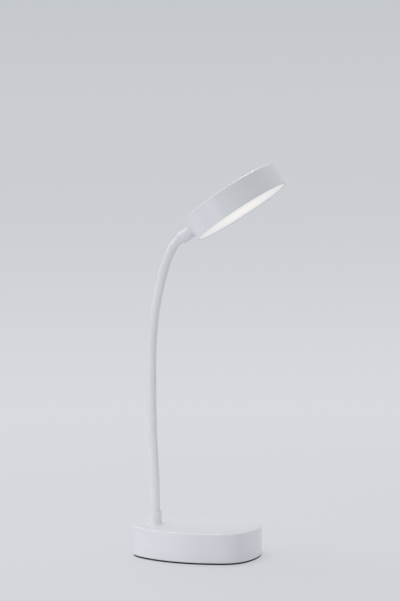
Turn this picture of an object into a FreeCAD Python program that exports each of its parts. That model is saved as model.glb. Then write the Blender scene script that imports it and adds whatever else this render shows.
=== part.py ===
"""Gooseneck desk lamp: low rounded base, ball-jointed hose and a drum-shaped LED head.

Millimetres, +Z up. The origin is on the desk under the middle of the base. The lamp faces +X, and it is
symmetric about the XZ plane: the hose rises near the back of the base and bows forwards to the head.
"""
import FreeCAD, Part
import math
import os

V = FreeCAD.Vector
UP = V(0, 0, 1)
SIDE = V(0, 1, 0)

# ---------------------------------------------------------------- driving dimensions
# Base plan: an egg of tangent arcs, with one round back and two softer corners at the front
BASE_LENGTH = 138.6
BACK_RADIUS = 36.8
CORNER_RADIUS = 28.8
CORNER_SPREAD = 24.5
SIDE_RADIUS = 115.8
FRONT_RADIUS = 96.0
BASE_HEIGHT = 32.7
BASE_WALL = 2.4
TOP_WALL = 2.4
TOP_EDGE_RADIUS = 1.0
BOTTOM_EDGE_RADIUS = 0.8

FOOT_THICKNESS = 1.7
FOOT_INSET = 1.0
COVER_THICKNESS = 2.3
COVER_GAP = 0.2
POST_GAP = 0.2

WEIGHT_THICKNESS = 5.0
WEIGHT_INSET = 9.7
WEIGHT_GAP = 5.0
WEIGHT_SCREW_INSET = 8.0
WEIGHT_SCREW_ANGLE = 60.0
PEG_RADIUS = 2.6
PEG_STEP = 0.3

SCREW_BOSS_RADIUS = 3.6
BOSS_SEAT = 3.3
FRONT_BOSS_ANGLE = 45.0
BACK_BOSS_ANGLE = 125.0
SCREW_SHANK_RADIUS = 1.3
SCREW_HEAD_RADIUS = 2.6
SCREW_HEAD_HEIGHT = 1.5
SCREW_CHAMFER = 0.6
SCREW_LENGTH = 9.0
SCREW_SLOT_WIDTH = 0.7
SCREW_SLOT_DEPTH = 0.6
SCREW_GAP = 0.1
SCREW_TIP_GAP = 1.0

CELL_RADIUS = 9.1
CELL_LENGTH = 65.0
CELL_SETBACK = 30.0
CELL_GAP = 0.3
HOLDER_WALL = 1.4
HOLDER_RAIL_HEIGHT = 9.0
CONTACT_THICKNESS = 0.5
CONTACT_WIDTH = 10.0
CONTACT_HEIGHT = 11.0

BOARD_LENGTH = 40.0
BOARD_WIDTH = 30.0
BOARD_THICKNESS = 1.6
BOARD_GAP = 1.0
BOARD_POST_HEIGHT = 5.0
BOARD_POST_RADIUS = 2.5
BOARD_HOLE_INSET = 3.5
BOARD_REST_INSET = 6.0
# Chips, coil and connector: place from the board's back edge and middle line, then length, width and height
BOARD_PARTS = (
    (12.0, -9.0, 5.0, 5.0, 1.2),
    (12.0, 4.0, 6.0, 6.0, 3.0),
    (22.0, 6.0, 5.0, 5.0, 1.0),
    (22.0, -12.0, 6.0, 7.0, 4.5),
)
CAPACITOR_SETBACK = 20.0
CAPACITOR_RADIUS = 2.0
CAPACITOR_HEIGHT = 5.0
SOCKET_LENGTH = 7.4
SOCKET_WIDTH = 9.0
SOCKET_HEIGHT = 3.2
SOCKET_WALL = 0.35
SOCKET_END_WALL = 1.0
SOCKET_SETBACK = 0.8
SOCKET_GAP = 0.15
TONGUE_THICKNESS = 0.7
TONGUE_WIDTH = 6.5
TONGUE_SETBACK = 1.0

TOUCH_SPACING = 17.5
TOUCH_RADIUS = 6.5
TOUCH_THICKNESS = 0.5
TOUCH_RING_GAP = 0.2
TOUCH_RING_WALL = 1.2
TOUCH_RING_DEPTH = 2.0
SPRING_STRIP = 0.4
SPRING_WIDTH = 4.0
SPRING_REACH = 5.0
SPRING_FOOT_LENGTH = 7.0
SPRING_TOP_LENGTH = 8.0

# Stem: where the hose enters the base
STEM_INSET = 24.0
FLARE_RADIUS = 4.0
COLLAR_RADIUS = 6.7
COLLAR_TOP_Z = 47.4
COLLAR_EDGE = 0.4
SHANK_RADIUS = 4.6
SHANK_LENGTH = 15.0
SHANK_GAP = 0.1
SPIGOT_RADIUS = 2.9
SPIGOT_LENGTH = 7.0
FLANGE_RADIUS = 5.6
FLANGE_THICKNESS = 1.5
SLIP_GAP = 0.05
STEM_PAD_RADIUS = 9.5
STEM_PAD_DEPTH = 3.0
WASHER_RADIUS = 8.5
WASHER_THICKNESS = 1.2
NUT_FLATS = 13.0
NUT_THICKNESS = 4.5

# Hose: one run up to the first ball joint, eight links, and one run into the head collar.
# Each run bends evenly through its turn, in degrees; a turn above zero leans the hose backwards.
HOSE_RADIUS = 4.85
HOSE_BORE_RADIUS = 1.6
BALL_RADIUS = 4.0
BALL_GAP = 0.1
CUP_WRAP = 1.2
NECK_SETBACK = 2.8
HOSE_HEADING = 90.0
LONG_LINK = 38.0
HOSE_RUNS = (13.0, LONG_LINK, LONG_LINK, LONG_LINK, LONG_LINK, 36.0, 32.0, 28.0, 24.8, 13.6)
HOSE_TURNS = (0.0, 2.7, -1.3, -1.6, -0.9, -5.5, -5.9, -3.9, -12.4, -28.0)

# Head: a drum whose open side faces down
HEAD_RADIUS = 55.0
HEAD_THICKNESS = 26.0
HEAD_WALL = 2.9
HEAD_TOP_WALL = 2.2
HEAD_EDGE_RADIUS = 1.8
HEAD_LIP_RADIUS = 0.5
HEAD_COLLAR_LENGTH = 16.5
COLLAR_SEAT_GAP = 0.05
DIFFUSER_RIM = 2.0
DIFFUSER_THICKNESS = 2.0
DIFFUSER_RECESS = 0.5
DIFFUSER_GAP = 0.15
REFLECTOR_WALL = 1.3
REFLECTOR_FOOT_WIDTH = 2.5
REFLECTOR_GAP = 0.3
REFLECTOR_LAP = 2.0
LED_PLANE = 14.3
LED_BOARD_INSET = 12.0
LED_BOARD_THICKNESS = 1.2
HEAT_PLATE_LAP = 1.0
HEAT_PLATE_THICKNESS = 1.5
CHIP_LENGTH = 3.5
CHIP_WIDTH = 2.8
CHIP_HEIGHT = 0.8
CHIP_RING_SPACING = 16.0
CHIP_RING_COUNT = 2
FIRST_RING_CHIPS = 8
HEAD_SCREW_CIRCLE = 24.0
HEAD_SCREW_COUNT = 3
HEAD_PAD_LENGTH = 3.5
HEAD_PAD_HALF_WIDTH = 8.0
HEAD_PAD_HALF_HEIGHT = 7.6
HEAD_SHANK_LENGTH = 12.0
HEAD_NUT_FLATS = 12.0
HEAD_NUT_THICKNESS = 3.5
NOTCH_GAP = 1.0

# How far joined shapes reach into each other, and cutting shapes past the faces they open
LAP = 0.5

# ---------------------------------------------------------------- worked-out places
COVER_BOTTOM = FOOT_THICKNESS
COVER_TOP = COVER_BOTTOM + COVER_THICKNESS
CEILING = BASE_HEIGHT - TOP_WALL
WEIGHT_TOP = COVER_TOP + WEIGHT_THICKNESS
BOARD_BOTTOM = COVER_TOP + BOARD_POST_HEIGHT
BOARD_TOP = BOARD_BOTTOM + BOARD_THICKNESS
BASE_BACK_X = -BASE_LENGTH / 2
STEM_X = BASE_BACK_X + STEM_INSET
TOUCH_X = STEM_X + TOUCH_SPACING
SOCKET_MOUTH_X = BASE_BACK_X + SOCKET_SETBACK
BOARD_BACK_X = BASE_BACK_X + BASE_WALL + BOARD_GAP
WEIGHT_BACK_X = BOARD_BACK_X + BOARD_LENGTH + WEIGHT_GAP
CELL_X = WEIGHT_BACK_X + CELL_SETBACK
CELL_Z = WEIGHT_TOP + HOLDER_WALL + CELL_RADIUS + CELL_GAP
BOSS_TOP = BASE_HEIGHT + FLARE_RADIUS
HEAD_MID = HEAD_THICKNESS / 2
DIFFUSER_RADIUS = HEAD_RADIUS - DIFFUSER_RIM
LED_BOARD_RADIUS = HEAD_RADIUS - LED_BOARD_INSET
HEAT_PLATE_RADIUS = LED_BOARD_RADIUS + HEAT_PLATE_LAP
REFLECTOR_TOP_RADIUS = LED_BOARD_RADIUS - REFLECTOR_LAP
# Corner circles of the plan as X, Y and radius, counter-clockwise, and the long arc that leaves each one
CORNER_REACH = math.sqrt((FRONT_RADIUS - CORNER_RADIUS) ** 2 - CORNER_SPREAD ** 2)
CORNER_X = BASE_LENGTH / 2 - FRONT_RADIUS + CORNER_REACH
CORNERS = (
    (CORNER_X, -CORNER_SPREAD, CORNER_RADIUS),
    (CORNER_X, CORNER_SPREAD, CORNER_RADIUS),
    (BASE_BACK_X + BACK_RADIUS, 0.0, BACK_RADIUS),
)
LONG_ARCS = (FRONT_RADIUS, SIDE_RADIUS, SIDE_RADIUS)


# ---------------------------------------------------------------- shape helpers
def arc_centre(first, second, radius):
    """Centre of the arc that two (x, y, radius) circles touch from inside, left of the line between them."""
    x1, y1, r1 = first
    x2, y2, r2 = second
    span = math.hypot(x2 - x1, y2 - y1)
    along = ((radius - r1) ** 2 - (radius - r2) ** 2 + span ** 2) / (2 * span)
    across = math.sqrt((radius - r1) ** 2 - along ** 2)
    step_x, step_y = (x2 - x1) / span, (y2 - y1) / span
    return x1 + along * step_x - across * step_y, y1 + along * step_y + across * step_x


def plan_arc(x, y, radius, start, end, z):
    """Level arc, counter-clockwise from one angle to the other."""
    while end < start:
        end += 2 * math.pi
    points = [V(x + radius * math.cos(angle), y + radius * math.sin(angle), z)
              for angle in (start, (start + end) / 2, end)]
    return Part.Arc(*points).toShape()


def plan_face(inset, z):
    """Face bounded by arcs round the corner circles and the long arcs between them."""
    count = len(CORNERS)
    centres = [arc_centre(CORNERS[i], CORNERS[(i + 1) % count], LONG_ARCS[i]) for i in range(count)]
    edges = []
    for i in range(count):
        x, y, radius = CORNERS[i]
        next_x, next_y, next_radius = CORNERS[(i + 1) % count]
        (back_x, back_y), (far_x, far_y) = centres[i - 1], centres[i]
        start = math.atan2(y - back_y, x - back_x)
        turn = math.atan2(y - far_y, x - far_x)
        end = math.atan2(next_y - far_y, next_x - far_x)
        edges.append(plan_arc(x, y, radius - inset, start, turn, z))
        edges.append(plan_arc(far_x, far_y, LONG_ARCS[i] - inset, turn, end, z))
    return Part.Face(Part.Wire(edges))


def plan_slab(inset, bottom, top):
    """Upright slab with the base's outline, set in by the given distance."""
    return plan_face(inset, bottom).extrude(UP * (top - bottom))


def cylinder(radius, bottom, top, x=0.0, y=0.0):
    """Upright cylinder."""
    return Part.makeCylinder(radius, top - bottom, V(x, y, bottom))


def block(x1, x2, y1, y2, z1, z2):
    """Box between two corners."""
    return Part.makeBox(x2 - x1, y2 - y1, z2 - z1, V(x1, y1, z1))


def turned(points):
    """Solid of revolution about Z from a closed outline of (radius, height) points."""
    outline = [V(r, 0, z) for r, z in points]
    return Part.Face(Part.makePolygon(outline + outline[:1])).revolve(V(0, 0, 0), UP, 360)


def placed(shape, origin, direction):
    """Copy of a shape made along Z, moved to origin and turned so that Z points along direction."""
    copy = shape.copy()
    copy.Placement = FreeCAD.Placement(origin, FreeCAD.Rotation(UP, direction)).multiply(copy.Placement)
    return copy


def hex_nut(flats, thickness, bore):
    """Hexagonal nut on Z with its lower face at zero, corners trimmed by a cone."""
    corner = flats / math.sqrt(3)
    points = [V(corner * math.cos(math.radians(60 * k)), corner * math.sin(math.radians(60 * k)), 0)
              for k in range(6)]
    body = Part.Face(Part.makePolygon(points + points[:1])).extrude(UP * thickness)
    crown = Part.makeCone(flats / 2 + thickness, flats / 2, thickness)
    return body.common(crown).cut(Part.makeCylinder(bore, thickness))


def pan_screw(length):
    """Slotted pan-head screw on Z: the head's seat is at zero, and the shank points down."""
    head = turned([(0, 0), (SCREW_HEAD_RADIUS, 0), (SCREW_HEAD_RADIUS, SCREW_HEAD_HEIGHT - SCREW_CHAMFER),
                   (SCREW_HEAD_RADIUS - SCREW_CHAMFER, SCREW_HEAD_HEIGHT), (0, SCREW_HEAD_HEIGHT)])
    slot = block(-SCREW_HEAD_RADIUS, SCREW_HEAD_RADIUS, -SCREW_SLOT_WIDTH / 2, SCREW_SLOT_WIDTH / 2,
                 SCREW_HEAD_HEIGHT - SCREW_SLOT_DEPTH, SCREW_HEAD_HEIGHT)
    shank = Part.makeCylinder(SCREW_SHANK_RADIUS, length, V(0, 0, -length))
    return head.cut(slot).fuse(shank).removeSplitter()


def mirror_pair(x, y):
    """The two places at plus and minus y."""
    return ((x, y), (x, -y))


# ---------------------------------------------------------------- base
def boss_places():
    """Centres of the cover's four screw bosses, merged into the wall at the corners."""
    places = []
    for (x, y, radius), angle in ((CORNERS[1], FRONT_BOSS_ANGLE), (CORNERS[2], BACK_BOSS_ANGLE)):
        reach = radius - BASE_WALL - BOSS_SEAT
        turn = math.radians(angle)
        places += mirror_pair(x + reach * math.cos(turn), y + reach * math.sin(turn))
    return places


def board_holes():
    """Screw places of the control board."""
    front = BOARD_BACK_X + BOARD_LENGTH - BOARD_HOLE_INSET
    return mirror_pair(front, BOARD_WIDTH / 2 - BOARD_HOLE_INSET)


def board_rests():
    """Plain posts that hold up the back corners of the control board."""
    return mirror_pair(BOARD_BACK_X + BOARD_REST_INSET, BOARD_WIDTH / 2 - BOARD_REST_INSET)


def weight_holes():
    """Screw places of the counterweight: one at its back edge, and one in each front corner."""
    x, y, radius = CORNERS[1]
    reach = radius - WEIGHT_INSET - WEIGHT_SCREW_INSET
    turn = math.radians(WEIGHT_SCREW_ANGLE)
    front = mirror_pair(x + reach * math.cos(turn), y + reach * math.sin(turn))
    return ((WEIGHT_BACK_X + WEIGHT_SCREW_INSET, 0),) + front


def socket_slot(gap, x1, x2):
    """Rounded bar with the charging socket's section, grown by gap, between two X planes."""
    half = SOCKET_HEIGHT / 2 + gap
    reach = SOCKET_WIDTH / 2 - SOCKET_HEIGHT / 2
    z = BOARD_TOP + SOCKET_HEIGHT / 2
    bar = block(x1, x2, -reach, reach, z - half, z + half)
    for y in (-reach, reach):
        bar = bar.fuse(Part.makeCylinder(half, x2 - x1, V(x1, y, z), V(1, 0, 0)))
    return bar.removeSplitter()


def stem_flare():
    """Boss under the stem collar, with a hollow curve running out into the top of the base."""
    foot = COLLAR_RADIUS + FLARE_RADIUS
    bend = FLARE_RADIUS * (1 - math.sqrt(0.5))
    corner = [V(0, 0, CEILING), V(foot, 0, CEILING), V(foot, 0, BASE_HEIGHT)]
    middle = V(COLLAR_RADIUS + bend, 0, BASE_HEIGHT + bend)
    curve = Part.Arc(corner[2], middle, V(COLLAR_RADIUS, 0, BOSS_TOP))
    top = [V(COLLAR_RADIUS, 0, BOSS_TOP), V(0, 0, BOSS_TOP), corner[0]]
    edges = Part.makePolygon(corner).Edges + [curve.toShape()] + Part.makePolygon(top).Edges
    flare = Part.Face(Part.Wire(edges)).revolve(V(0, 0, 0), UP, 360)
    flare.translate(V(STEM_X, 0, 0))
    return flare


def base_housing():
    shell = plan_slab(0, COVER_BOTTOM, BASE_HEIGHT)
    rims = {BASE_HEIGHT: TOP_EDGE_RADIUS, COVER_BOTTOM: BOTTOM_EDGE_RADIUS}
    for level, radius in rims.items():
        rim = [e for e in shell.Edges if abs(e.BoundBox.ZMin - level) < 0.01
               and abs(e.BoundBox.ZMax - level) < 0.01]
        shell = shell.makeFillet(radius, rim)
    shell = shell.cut(plan_slab(BASE_WALL, COVER_BOTTOM, CEILING))
    shell = shell.fuse(stem_flare())
    shell = shell.fuse(cylinder(STEM_PAD_RADIUS, CEILING - STEM_PAD_DEPTH, CEILING, STEM_X))
    shell = shell.cut(cylinder(SHANK_RADIUS + SHANK_GAP, CEILING - STEM_PAD_DEPTH, BOSS_TOP, STEM_X))
    inside = plan_slab(BASE_WALL / 2, COVER_TOP, CEILING)
    for x, y in boss_places():
        shell = shell.fuse(cylinder(SCREW_BOSS_RADIUS, COVER_TOP, CEILING, x, y).common(inside))
        shell = shell.cut(cylinder(SCREW_SHANK_RADIUS, COVER_TOP, COVER_TOP + SCREW_LENGTH, x, y))
    ring_bottom = CEILING - TOUCH_RING_DEPTH
    ring_radius = TOUCH_RADIUS + TOUCH_RING_GAP
    ring = cylinder(ring_radius + TOUCH_RING_WALL, ring_bottom, CEILING, TOUCH_X)
    shell = shell.fuse(ring.cut(cylinder(ring_radius, ring_bottom, CEILING, TOUCH_X)))
    slot = socket_slot(SOCKET_GAP, BASE_BACK_X - LAP, BASE_BACK_X + BASE_WALL + 2 * LAP)
    return shell.cut(slot).removeSplitter()


def base_cover():
    plate = plan_slab(BASE_WALL + COVER_GAP, COVER_BOTTOM, COVER_TOP)
    for x, y in weight_holes():
        peg = cylinder(PEG_RADIUS, COVER_TOP, WEIGHT_TOP - PEG_STEP, x, y)
        plate = plate.fuse(peg).cut(cylinder(SCREW_SHANK_RADIUS, COVER_TOP, WEIGHT_TOP, x, y))
    for x, y in board_holes() + board_rests():
        plate = plate.fuse(cylinder(BOARD_POST_RADIUS, COVER_TOP, BOARD_BOTTOM, x, y))
    for x, y in board_holes():
        plate = plate.cut(cylinder(SCREW_SHANK_RADIUS, COVER_TOP, BOARD_BOTTOM, x, y))
    for x, y in boss_places():
        plate = plate.cut(cylinder(SCREW_SHANK_RADIUS + SCREW_GAP, COVER_BOTTOM, COVER_TOP, x, y))
        plate = plate.cut(cylinder(SCREW_HEAD_RADIUS + SCREW_GAP, COVER_BOTTOM,
                                   COVER_BOTTOM + SCREW_HEAD_HEIGHT, x, y))
    return plate.removeSplitter()


def counterweight():
    plate = plan_slab(WEIGHT_INSET, COVER_TOP, WEIGHT_TOP)
    plate = plate.cut(block(-BASE_LENGTH, WEIGHT_BACK_X, -BASE_LENGTH, BASE_LENGTH, 0, BASE_HEIGHT))
    for x, y in weight_holes():
        plate = plate.cut(cylinder(PEG_RADIUS + POST_GAP, COVER_TOP, WEIGHT_TOP, x, y))
    return plate


def battery_holder():
    half_length = CELL_LENGTH / 2 + CONTACT_THICKNESS + CELL_GAP
    half_width = CELL_RADIUS + CELL_GAP + HOLDER_WALL
    outer = block(CELL_X - half_width, CELL_X + half_width, -half_length - HOLDER_WALL,
                  half_length + HOLDER_WALL, WEIGHT_TOP, WEIGHT_TOP + HOLDER_WALL + HOLDER_RAIL_HEIGHT)
    end = V(CELL_X, -half_length, CELL_Z)
    trough = Part.makeCylinder(CELL_RADIUS + CELL_GAP, 2 * half_length, end, SIDE)
    above = block(CELL_X - half_width + HOLDER_WALL, CELL_X + half_width - HOLDER_WALL, -half_length,
                  half_length, CELL_Z, BASE_HEIGHT)
    return outer.cut(trough).cut(above)


def battery_contacts():
    parts = []
    for side in (-1, 1):
        inner = side * (CELL_LENGTH / 2 + CELL_GAP / 2)
        outer = inner + side * CONTACT_THICKNESS
        parts.append(block(CELL_X - CONTACT_WIDTH / 2, CELL_X + CONTACT_WIDTH / 2, min(inner, outer),
                           max(inner, outer), CELL_Z - CONTACT_HEIGHT / 2, CELL_Z + CONTACT_HEIGHT / 2))
    return Part.makeCompound(parts)


def battery_cell():
    return Part.makeCylinder(CELL_RADIUS, CELL_LENGTH, V(CELL_X, -CELL_LENGTH / 2, CELL_Z - CELL_GAP), SIDE)


def control_board():
    """Board whose back corners follow the round wall of the base."""
    board = block(BOARD_BACK_X, BOARD_BACK_X + BOARD_LENGTH, -BOARD_WIDTH / 2, BOARD_WIDTH / 2,
                  BOARD_BOTTOM, BOARD_TOP)
    board = board.common(plan_slab(BASE_WALL + BOARD_GAP, BOARD_BOTTOM, BOARD_TOP))
    for x, y in board_holes():
        board = board.cut(cylinder(SCREW_SHANK_RADIUS + SCREW_GAP, BOARD_BOTTOM, BOARD_TOP, x, y))
    return board


def board_parts():
    """Charger and driver chips, a power coil, the lamp lead's connector and a capacitor."""
    top = BOARD_TOP + CAPACITOR_HEIGHT
    bodies = [cylinder(CAPACITOR_RADIUS, BOARD_TOP, top, BOARD_BACK_X + CAPACITOR_SETBACK)]
    for setback, y, length, width, height in BOARD_PARTS:
        x = BOARD_BACK_X + setback
        bodies.append(block(x, x + length, y, y + width, BOARD_TOP, BOARD_TOP + height))
    return Part.makeCompound(bodies)


def usb_socket():
    """Charging socket: a thin rounded can, open at the back of the lamp, with its contact tongue."""
    inner_end = SOCKET_MOUTH_X + SOCKET_LENGTH
    can = socket_slot(0, SOCKET_MOUTH_X, inner_end)
    can = can.cut(socket_slot(-SOCKET_WALL, SOCKET_MOUTH_X, inner_end - SOCKET_END_WALL))
    z = BOARD_TOP + SOCKET_HEIGHT / 2
    tongue = block(SOCKET_MOUTH_X + TONGUE_SETBACK, inner_end - SOCKET_END_WALL / 2, -TONGUE_WIDTH / 2,
                   TONGUE_WIDTH / 2, z - TONGUE_THICKNESS / 2, z + TONGUE_THICKNESS / 2)
    return can.fuse(tongue).removeSplitter()


def touch_plate():
    return cylinder(TOUCH_RADIUS, CEILING - TOUCH_THICKNESS, CEILING, TOUCH_X)


def touch_spring():
    """Bent strip from the board up to the touch plate: a foot, a slanting leg and a top."""
    plate = CEILING - TOUCH_THICKNESS
    back, front = TOUCH_X - SPRING_REACH, TOUCH_X + SPRING_REACH
    half = SPRING_WIDTH / 2
    foot = block(back, back + SPRING_FOOT_LENGTH, -half, half, BOARD_TOP, BOARD_TOP + SPRING_STRIP)
    top = block(front - SPRING_TOP_LENGTH, front, -half, half, plate - SPRING_STRIP, plate)
    corners = [V(back, -half, BOARD_TOP), V(back + SPRING_STRIP, -half, BOARD_TOP),
               V(front, -half, plate), V(front - SPRING_STRIP, -half, plate)]
    leg = Part.Face(Part.makePolygon(corners + corners[:1])).extrude(SIDE * SPRING_WIDTH)
    return foot.fuse([leg, top]).removeSplitter()


def cover_screws():
    screws = [placed(pan_screw(SCREW_LENGTH), V(x, y, COVER_BOTTOM + SCREW_HEAD_HEIGHT), -UP)
              for x, y in boss_places()]
    return Part.makeCompound(screws)


def weight_screws():
    length = WEIGHT_THICKNESS - SCREW_TIP_GAP
    return Part.makeCompound([placed(pan_screw(length), V(x, y, WEIGHT_TOP), UP) for x, y in weight_holes()])


def board_screws():
    return Part.makeCompound([placed(pan_screw(BOARD_POST_HEIGHT), V(x, y, BOARD_TOP), UP)
                              for x, y in board_holes()])


# ---------------------------------------------------------------- fittings at the hose's two ends
def fitting(shank_length):
    """Turned end fitting on Z: spigot up into the hose, flange at zero, threaded shank down."""
    body = turned([(HOSE_BORE_RADIUS, -shank_length), (SHANK_RADIUS, -shank_length), (SHANK_RADIUS, 0),
                   (FLANGE_RADIUS, 0), (FLANGE_RADIUS, FLANGE_THICKNESS), (SPIGOT_RADIUS, FLANGE_THICKNESS),
                   (SPIGOT_RADIUS, FLANGE_THICKNESS + SPIGOT_LENGTH),
                   (HOSE_BORE_RADIUS, FLANGE_THICKNESS + SPIGOT_LENGTH)])
    return body


def collar(length):
    """Ring round the fitting's flange and the end of the hose, rounded at its free rim."""
    ring = Part.makeCylinder(COLLAR_RADIUS, length)
    rim = [e for e in ring.Edges if e.Closed and abs(e.BoundBox.ZMin - length) < 0.01]
    ring = ring.makeFillet(COLLAR_EDGE, rim)
    ring = ring.cut(Part.makeCylinder(FLANGE_RADIUS + SLIP_GAP, FLANGE_THICKNESS + SLIP_GAP))
    return ring.cut(Part.makeCylinder(HOSE_RADIUS + SLIP_GAP, length))


def stem_collar():
    return placed(collar(COLLAR_TOP_Z - BOSS_TOP), V(STEM_X, 0, BOSS_TOP), UP)


def stem_fitting():
    return placed(fitting(SHANK_LENGTH), V(STEM_X, 0, BOSS_TOP), UP)


def stem_washer():
    top = CEILING - STEM_PAD_DEPTH
    ring = cylinder(WASHER_RADIUS, top - WASHER_THICKNESS, top, STEM_X)
    return ring.cut(cylinder(SHANK_RADIUS + SHANK_GAP, top - WASHER_THICKNESS, top, STEM_X))


def stem_nut():
    bottom = CEILING - STEM_PAD_DEPTH - WASHER_THICKNESS - NUT_THICKNESS
    return placed(hex_nut(NUT_FLATS, NUT_THICKNESS, SHANK_RADIUS), V(STEM_X, 0, bottom), UP)


# ---------------------------------------------------------------- hose
def heading_vector(heading):
    """Unit vector in the XZ plane, from degrees above +X."""
    return V(math.cos(math.radians(heading)), 0, math.sin(math.radians(heading)))


def run_end(start, heading, length, turn):
    """Far end of a run that bends evenly by turn degrees over its length."""
    if abs(turn) < 1e-6:
        return start + heading_vector(heading) * length
    radius = length / math.radians(turn)
    left, far = heading_vector(heading + 90), heading_vector(heading + turn + 90)
    return start + left * radius - far * radius


def hose_stations():
    """Point and heading at the start of each run, and at the end of the last one."""
    point, heading = V(STEM_X, 0, COLLAR_TOP_Z), HOSE_HEADING
    stations = [(point, heading)]
    for length, turn in zip(HOSE_RUNS, HOSE_TURNS):
        point = run_end(point, heading, length, turn)
        heading += turn
        stations.append((point, heading))
    return stations


STATIONS = hose_stations()
JOINTS = STATIONS[1:-1]


def bent_rod(index, radius):
    """Round rod along one run of the hose."""
    point, heading = STATIONS[index]
    length, turn = HOSE_RUNS[index], HOSE_TURNS[index]
    if abs(turn) < 1e-6:
        return Part.makeCylinder(radius, length, point, heading_vector(heading))
    disc = Part.Face(Part.Wire(Part.makeCircle(radius, point, heading_vector(heading))))
    centre = point + heading_vector(heading + 90) * (length / math.radians(turn))
    return disc.revolve(centre, -SIDE if turn > 0 else SIDE, abs(turn))


def rod(start, heading, length, radius):
    """Straight round rod that starts at a station and points along its heading."""
    return Part.makeCylinder(radius, length, start, heading_vector(heading))


def with_cup(shape, joint):
    """Adds the socket that wraps the ball of the piece below."""
    point, heading = joint
    skirt = rod(point, heading + 180, CUP_WRAP, HOSE_RADIUS)
    return shape.fuse(skirt).cut(Part.makeSphere(BALL_RADIUS + BALL_GAP, point))


def with_ball(shape, joint):
    """Sets the tube's end back to a shoulder and stands the ball on it."""
    point, heading = joint
    back = point - heading_vector(heading) * NECK_SETBACK
    clear = rod(back, heading, NECK_SETBACK + LAP, HOSE_RADIUS + LAP)
    return shape.cut(clear).fuse(Part.makeSphere(BALL_RADIUS, point))


def drilled(shape, index, before, after):
    """Lead hole along one run, carried on straight by the given lengths at both ends."""
    point, heading = STATIONS[index]
    far_point, far_heading = STATIONS[index + 1]
    hole = bent_rod(index, HOSE_BORE_RADIUS)
    for piece in (rod(point, heading + 180, before, HOSE_BORE_RADIUS),
                  rod(far_point, far_heading, after, HOSE_BORE_RADIUS)):
        hole = hole.fuse(piece)
    return shape.cut(hole).removeSplitter()


def spigot_hole(point, heading):
    """Counterbore in the hose's end for the fitting's spigot."""
    return rod(point, heading, SPIGOT_LENGTH + SLIP_GAP, SPIGOT_RADIUS + SLIP_GAP)


def neck_foot():
    """Lowest length of hose: held in the stem collar, ball at its top."""
    point, heading = STATIONS[0]
    depth = COLLAR_TOP_Z - BOSS_TOP - FLANGE_THICKNESS
    foot = rod(point, heading + 180, depth, HOSE_RADIUS).fuse(bent_rod(0, HOSE_RADIUS))
    foot = drilled(with_ball(foot, STATIONS[1]), 0, depth, BALL_RADIUS)
    bottom = point - heading_vector(heading) * depth
    return foot.cut(spigot_hole(bottom, heading))


def neck_link(index):
    """One length of hose: cup at its lower end, ball at its upper end."""
    link = with_cup(bent_rod(index, HOSE_RADIUS), STATIONS[index])
    return drilled(with_ball(link, STATIONS[index + 1]), index, CUP_WRAP, BALL_RADIUS)


def neck_tip():
    """Highest length of hose: cup at its lower end, held in the head collar."""
    last = len(HOSE_RUNS) - 1
    point, heading = STATIONS[-1]
    depth = HEAD_COLLAR_LENGTH - FLANGE_THICKNESS
    tip = with_cup(bent_rod(last, HOSE_RADIUS), STATIONS[last])
    tip = tip.fuse(rod(point, heading, depth, HOSE_RADIUS))
    tip = drilled(tip, last, CUP_WRAP, depth)
    return tip.cut(spigot_hole(point + heading_vector(heading) * depth, heading + 180))


# ---------------------------------------------------------------- head
# The head is built with its light face on Z = 0, its neck towards -X, and is then moved to the hose's end
def head_frame():
    """Placement that carries the head from its own frame to the end of the hose."""
    point, heading = STATIONS[-1]
    turn = FreeCAD.Rotation(SIDE, -heading)
    reach = turn.multVec(V(HEAD_RADIUS + HEAD_COLLAR_LENGTH, 0, -HEAD_MID))
    return FreeCAD.Placement(point + reach, turn)


def in_head(shape):
    moved = shape.copy()
    moved.Placement = head_frame().multiply(moved.Placement)
    return moved


def head_screw_places():
    angles = (math.radians(60 + 360 * k / HEAD_SCREW_COUNT) for k in range(HEAD_SCREW_COUNT))
    return [(HEAD_SCREW_CIRCLE * math.cos(a), HEAD_SCREW_CIRCLE * math.sin(a)) for a in angles]


def head_shell():
    drum = Part.makeCylinder(HEAD_RADIUS, HEAD_THICKNESS)
    for level, radius in ((HEAD_THICKNESS, HEAD_EDGE_RADIUS), (0.0, HEAD_LIP_RADIUS)):
        rim = [e for e in drum.Edges if e.Closed and abs(e.BoundBox.ZMin - level) < 0.01
               and abs(e.BoundBox.ZMax - level) < 0.01]
        drum = drum.makeFillet(radius, rim)
    seat = DIFFUSER_RECESS + DIFFUSER_THICKNESS
    drum = drum.cut(cylinder(DIFFUSER_RADIUS + DIFFUSER_GAP, 0, seat))
    drum = drum.cut(cylinder(HEAD_RADIUS - HEAD_WALL, 0, HEAD_THICKNESS - HEAD_TOP_WALL))
    wall_x = HEAD_RADIUS - HEAD_WALL
    pad = block(-wall_x - LAP, HEAD_PAD_LENGTH - wall_x, -HEAD_PAD_HALF_WIDTH, HEAD_PAD_HALF_WIDTH,
                HEAD_MID - HEAD_PAD_HALF_HEIGHT, HEAD_THICKNESS - HEAD_TOP_WALL)
    drum = drum.fuse(pad.common(cylinder(wall_x + LAP, 0, HEAD_THICKNESS)))
    seat_top = LED_PLANE + LED_BOARD_THICKNESS + HEAT_PLATE_THICKNESS
    for x, y in head_screw_places():
        drum = drum.fuse(cylinder(SCREW_BOSS_RADIUS, seat_top, HEAD_THICKNESS - HEAD_TOP_WALL, x, y))
        drum = drum.cut(cylinder(SCREW_SHANK_RADIUS, seat_top, HEAD_THICKNESS - HEAD_TOP_WALL, x, y))
    hole = Part.makeCylinder(SHANK_RADIUS + SHANK_GAP, HEAD_WALL + HEAD_PAD_LENGTH + 2 * LAP,
                             V(-HEAD_RADIUS - LAP, 0, HEAD_MID), V(1, 0, 0))
    return drum.cut(hole).removeSplitter()


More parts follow.
